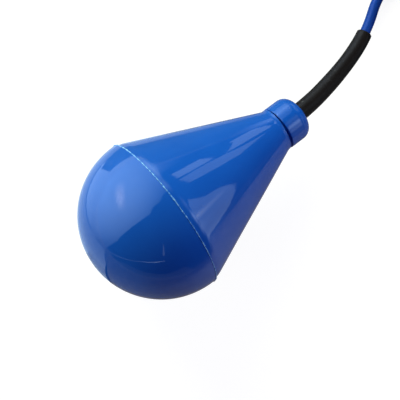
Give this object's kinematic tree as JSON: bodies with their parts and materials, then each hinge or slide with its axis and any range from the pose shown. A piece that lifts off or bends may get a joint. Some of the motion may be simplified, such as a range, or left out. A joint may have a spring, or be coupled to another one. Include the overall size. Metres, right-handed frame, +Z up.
{
  "type": "float level switch",
  "caption": "Pear-shaped glossy blue tank float on a blue cable with a black bend relief; inside, a rolling ball works a snap-action switch.",
  "frame": {"origin": "middle of the float's box on the floor it lies on", "axes": "+X along the float from nose to gland nut, +Z up; the float's axis dips 13 degrees towards the gland"},
  "size_m": [0.353, 0.1196, 0.0992],
  "materials": {
    "float_plastic": "glossy moulded polypropylene, slightly wavy",
    "black_rubber": "matt rubber with light scuffs",
    "cable_sheath": "satin extruded sheath",
    "tie_plastic": "satin moulded strap",
    "core_brown": "satin insulation",
    "core_blue": "satin insulation",
    "core_yellow": "satin insulation",
    "tinned_metal": "tinned copper, satin",
    "zinc_steel": "zinc plated",
    "natural_plastic": "natural moulded plastic",
    "cast_iron": "as cast, oiled",
    "bearing_steel": "polished",
    "black_plastic": "moulded thermoset",
    "red_plastic": "moulded",
    "brass": "stamped",
    "resin": "cast resin"
  },
  "bodies": {
    "float": {"nose_shell": "float_plastic", "cone_shell": "float_plastic", "gland_nut": "float_plastic", "strain_relief_boot": "black_rubber", "cable_seal": "black_rubber", "lid_o_ring": "black_rubber", "cable": "cable_sheath", "cable_coil": "cable_sheath", "cable_tail": "cable_sheath", "inner_cable": "cable_sheath", "coil_ties": "tie_plastic", "end_core_1": "core_brown", "inner_core_common": "core_brown", "end_core_2": "core_blue", "inner_core_open": "core_blue", "end_core_3": "core_yellow", "inner_core_closed": "core_yellow", "ferrule_1": "tinned_metal", "ferrule_2": "tinned_metal", "ferrule_3": "tinned_metal", "thrust_washer": "zinc_steel", "ballast_screws": "zinc_steel", "lid_screws": "zinc_steel", "switch_screws": "zinc_steel", "cable_grip_screw": "zinc_steel", "lever_pin": "zinc_steel", "support_plate": "natural_plastic", "switch_capsule": "natural_plastic", "capsule_lid": "natural_plastic", "ball_race": "natural_plastic", "switch_carrier": "natural_plastic", "cable_grip_ring": "natural_plastic", "ballast_ring": "cast_iron", "switch_base": "black_plastic", "switch_cover": "black_plastic", "terminal_common": "brass", "terminal_open": "brass", "terminal_closed": "brass", "potting_resin": "resin"},
    "ball": {"steel_ball": "bearing_steel"},
    "lever": {"switch_lever": "bearing_steel"},
    "plunger": {"switch_plunger": "red_plastic"},
    "blade": {"snap_blade": "brass"}
  },
  "joints": [
    {"name": "ball_roll", "type": "slide", "parent": "float", "child": "ball", "axis": [0.9744, 0, -0.225], "range_m": [-0.0045, 0]},
    {"name": "lever_swing", "type": "hinge", "parent": "float", "child": "lever", "pos_m": [-0.00854, 0, 0.03237], "axis": [0, 1, 0], "range_deg": [-11.75, 0]},
    {"name": "plunger_press", "type": "slide", "parent": "float", "child": "plunger", "axis": [0.9744, 0, -0.225], "range_m": [-0.00171, 0]},
    {"name": "blade_snap", "type": "hinge", "parent": "float", "child": "blade", "pos_m": [0.00577, 0, 0.03214], "axis": [0, 1, 0], "range_deg": [-2.51, 0]}
  ],
  "couplings": [
    {"joint": "lever_swing", "follows": "ball_roll", "rad_per_m": 45.534},
    {"joint": "plunger_press", "follows": "ball_roll", "ratio": 0.37778},
    {"joint": "blade_snap", "follows": "ball_roll", "rad_per_m": 9.6963}
  ]
}
